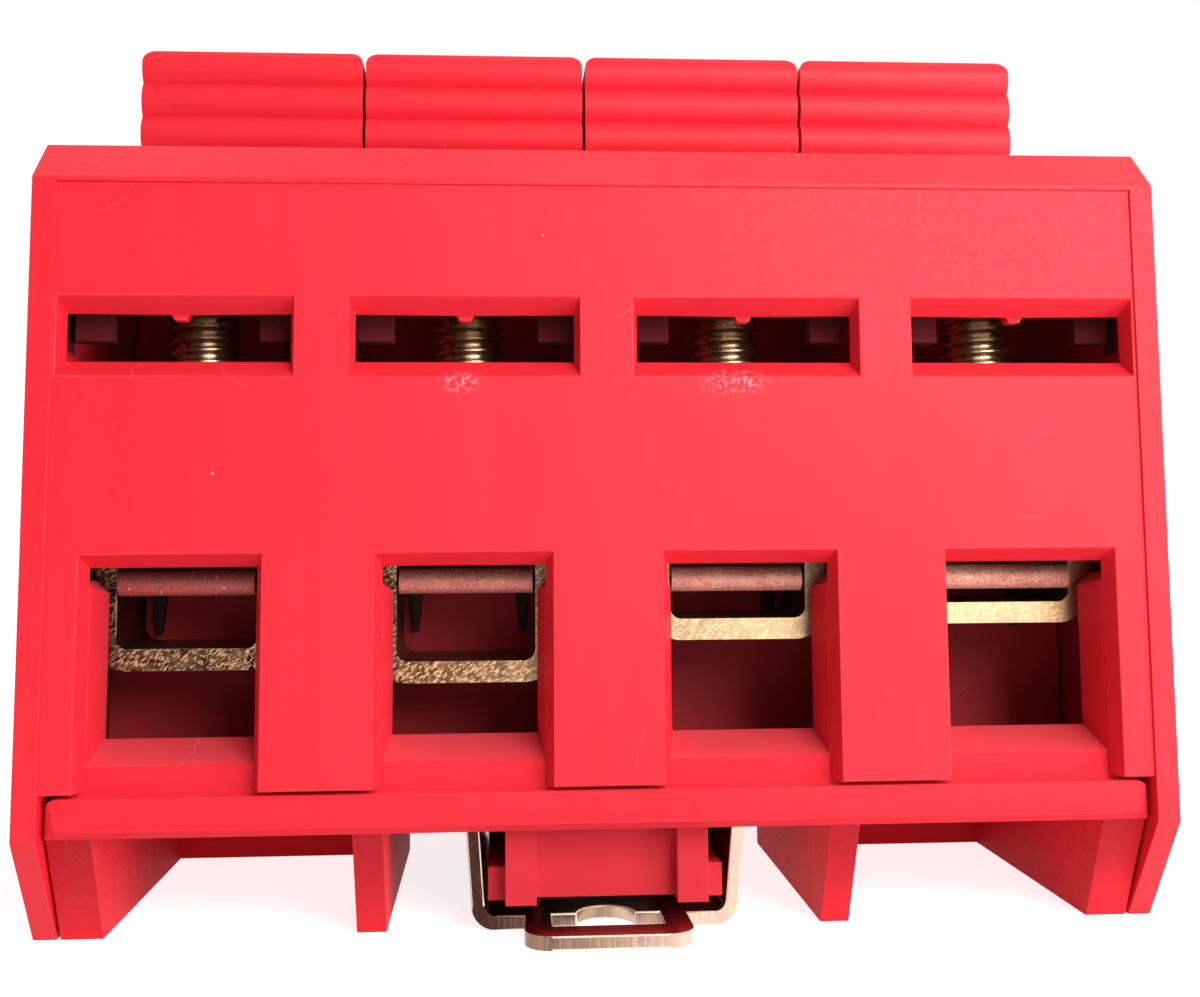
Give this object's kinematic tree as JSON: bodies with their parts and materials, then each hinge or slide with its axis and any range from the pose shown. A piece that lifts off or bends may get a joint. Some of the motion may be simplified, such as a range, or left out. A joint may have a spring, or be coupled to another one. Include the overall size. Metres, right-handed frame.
{
  "type": "din rail surge arrester",
  "caption": "Red plug-in surge arrester for a 35 mm rail, with lift-clamp screw terminals, inspection windows, pull-out modules, a sprung rail slide and a remote signal plug.",
  "frame": {"origin": "middle of the rail seat, on the face that lies on the rail's front", "axes": "+X along the rail, +Y across it to the earth terminals, +Z out of the panel to the module fronts"},
  "size_m": [0.072, 0.0902, 0.0639],
  "materials": {
    "red_plastic": "satin moulded thermoplastic",
    "dark_plastic": "matt moulded thermoplastic",
    "chromated_steel": "stamped, zinc plated and yellow chromated",
    "clamp_screw_steel": "zinc plated",
    "spring_steel": "bright rolled strip",
    "contact_copper": "tinned copper strip",
    "varistor_epoxy": "dipped epoxy",
    "gap_ceramic": "glazed ceramic",
    "flag_green": "satin moulded thermoplastic"
  },
  "bodies": {
    "base": {"cover": "red_plastic", "tray": "red_plastic", "slide_spring": "spring_steel", "line_bar_1": "contact_copper", "line_bar_2": "contact_copper", "line_bar_3": "contact_copper", "neutral_bar": "contact_copper", "earth_bar": "contact_copper", "signal_socket": "dark_plastic", "signal_pins": "contact_copper"},
    "rail_slide": {"rail_slide": "chromated_steel"},
    "clamp_screw_1": {"terminal_screw_1": "clamp_screw_steel"},
    "clamp_cage_1": {"terminal_cage_1": "chromated_steel"},
    "clamp_screw_2": {"terminal_screw_2": "clamp_screw_steel"},
    "clamp_cage_2": {"terminal_cage_2": "chromated_steel"},
    "clamp_screw_3": {"terminal_screw_3": "clamp_screw_steel"},
    "clamp_cage_3": {"terminal_cage_3": "chromated_steel"},
    "clamp_screw_4": {"terminal_screw_4": "clamp_screw_steel"},
    "clamp_cage_4": {"terminal_cage_4": "chromated_steel"},
    "clamp_screw_5": {"terminal_screw_5": "clamp_screw_steel"},
    "clamp_cage_5": {"terminal_cage_5": "chromated_steel"},
    "clamp_screw_6": {"terminal_screw_6": "clamp_screw_steel"},
    "clamp_cage_6": {"terminal_cage_6": "chromated_steel"},
    "module_1": {"module_case_1": "red_plastic", "module_cap_1": "dark_plastic", "module_blades_1": "contact_copper", "varistor_1": "varistor_epoxy"},
    "flag_1": {"status_flag_1": "flag_green"},
    "module_2": {"module_case_2": "red_plastic", "module_cap_2": "dark_plastic", "module_blades_2": "contact_copper", "varistor_2": "varistor_epoxy"},
    "flag_2": {"status_flag_2": "flag_green"},
    "module_3": {"module_case_3": "red_plastic", "module_cap_3": "dark_plastic", "module_blades_3": "contact_copper", "varistor_3": "varistor_epoxy"},
    "flag_3": {"status_flag_3": "flag_green"},
    "module_4": {"module_case_4": "red_plastic", "module_cap_4": "dark_plastic", "module_blades_4": "contact_copper", "spark_gap": "gap_ceramic"},
    "flag_4": {"status_flag_4": "flag_green"},
    "signal_plug": {"signal_plug": "dark_plastic"}
  },
  "joints": [
    {"name": "rail_slide_pull", "type": "slide", "parent": "base", "child": "rail_slide", "axis": [0, -1, 0], "range_m": [0, 0.004], "stiffness_N_per_m": 2500, "springref_m": -0.002, "deforming": ["slide_spring"]},
    {"name": "clamp_screw_1_turn", "type": "hinge", "parent": "base", "child": "clamp_screw_1", "pos_m": [-0.027, -0.0356, 0.03], "axis": [0, 0, 1], "range_deg": [-1350.1, 1710.1]},
    {"name": "clamp_cage_1_lift", "type": "slide", "parent": "base", "child": "clamp_cage_1", "axis": [0, 0, 1], "range_m": [-0.0038, 0.003]},
    {"name": "clamp_screw_2_turn", "type": "hinge", "parent": "base", "child": "clamp_screw_2", "pos_m": [-0.009, -0.0356, 0.03], "axis": [0, 0, 1], "range_deg": [-1800.1, 1260.1]},
    {"name": "clamp_cage_2_lift", "type": "slide", "parent": "base", "child": "clamp_cage_2", "axis": [0, 0, 1], "range_m": [-0.0028, 0.004]},
    {"name": "clamp_screw_3_turn", "type": "hinge", "parent": "base", "child": "clamp_screw_3", "pos_m": [0.009, -0.0356, 0.03], "axis": [0, 0, 1], "range_deg": [-630.1, 2430.1]},
    {"name": "clamp_cage_3_lift", "type": "slide", "parent": "base", "child": "clamp_cage_3", "axis": [0, 0, 1], "range_m": [-0.0054, 0.0014]},
    {"name": "clamp_screw_4_turn", "type": "hinge", "parent": "base", "child": "clamp_screw_4", "pos_m": [0.027, -0.0356, 0.03], "axis": [0, 0, 1], "range_deg": [-225.1, 2835.1]},
    {"name": "clamp_cage_4_lift", "type": "slide", "parent": "base", "child": "clamp_cage_4", "axis": [0, 0, 1], "range_m": [-0.0063, 0.0005]},
    {"name": "clamp_screw_5_turn", "type": "hinge", "parent": "base", "child": "clamp_screw_5", "pos_m": [0.009, 0.0356, 0.03], "axis": [0, 0, 1], "range_deg": [-2745.1, 315.1]},
    {"name": "clamp_cage_5_lift", "type": "slide", "parent": "base", "child": "clamp_cage_5", "axis": [0, 0, 1], "range_m": [-0.0007, 0.0061]},
    {"name": "clamp_screw_6_turn", "type": "hinge", "parent": "base", "child": "clamp_screw_6", "pos_m": [0.027, 0.0356, 0.03], "axis": [0, 0, 1], "range_deg": [-2745.1, 315.1]},
    {"name": "clamp_cage_6_lift", "type": "slide", "parent": "base", "child": "clamp_cage_6", "axis": [0, 0, 1], "range_m": [-0.0007, 0.0061]},
    {"name": "module_1_pull", "type": "slide", "parent": "base", "child": "module_1", "axis": [0, 0, 1], "range_m": [0, 0.028]},
    {"name": "flag_1_trip", "type": "slide", "parent": "module_1", "child": "flag_1", "axis": [0, 1, 0], "range_m": [0, 0.004]},
    {"name": "module_2_pull", "type": "slide", "parent": "base", "child": "module_2", "axis": [0, 0, 1], "range_m": [0, 0.028]},
    {"name": "flag_2_trip", "type": "slide", "parent": "module_2", "child": "flag_2", "axis": [0, 1, 0], "range_m": [0, 0.004]},
    {"name": "module_3_pull", "type": "slide", "parent": "base", "child": "module_3", "axis": [0, 0, 1], "range_m": [0, 0.028]},
    {"name": "flag_3_trip", "type": "slide", "parent": "module_3", "child": "flag_3", "axis": [0, 1, 0], "range_m": [0, 0.004]},
    {"name": "module_4_pull", "type": "slide", "parent": "base", "child": "module_4", "axis": [0, 0, 1], "range_m": [0, 0.028]},
    {"name": "flag_4_trip", "type": "slide", "parent": "module_4", "child": "flag_4", "axis": [0, 1, 0], "range_m": [0, 0.004]},
    {"name": "signal_plug_pull", "type": "slide", "parent": "base", "child": "signal_plug", "axis": [0, 1, 0], "range_m": [0, 0.009]}
  ],
  "couplings": [
    {"joint": "clamp_screw_1_turn", "follows": "clamp_cage_1_lift", "rad_per_m": -7854},
    {"joint": "clamp_screw_2_turn", "follows": "clamp_cage_2_lift", "rad_per_m": -7854},
    {"joint": "clamp_screw_3_turn", "follows": "clamp_cage_3_lift", "rad_per_m": -7854},
    {"joint": "clamp_screw_4_turn", "follows": "clamp_cage_4_lift", "rad_per_m": -7854},
    {"joint": "clamp_screw_5_turn", "follows": "clamp_cage_5_lift", "rad_per_m": -7854},
    {"joint": "clamp_screw_6_turn", "follows": "clamp_cage_6_lift", "rad_per_m": -7854}
  ]
}
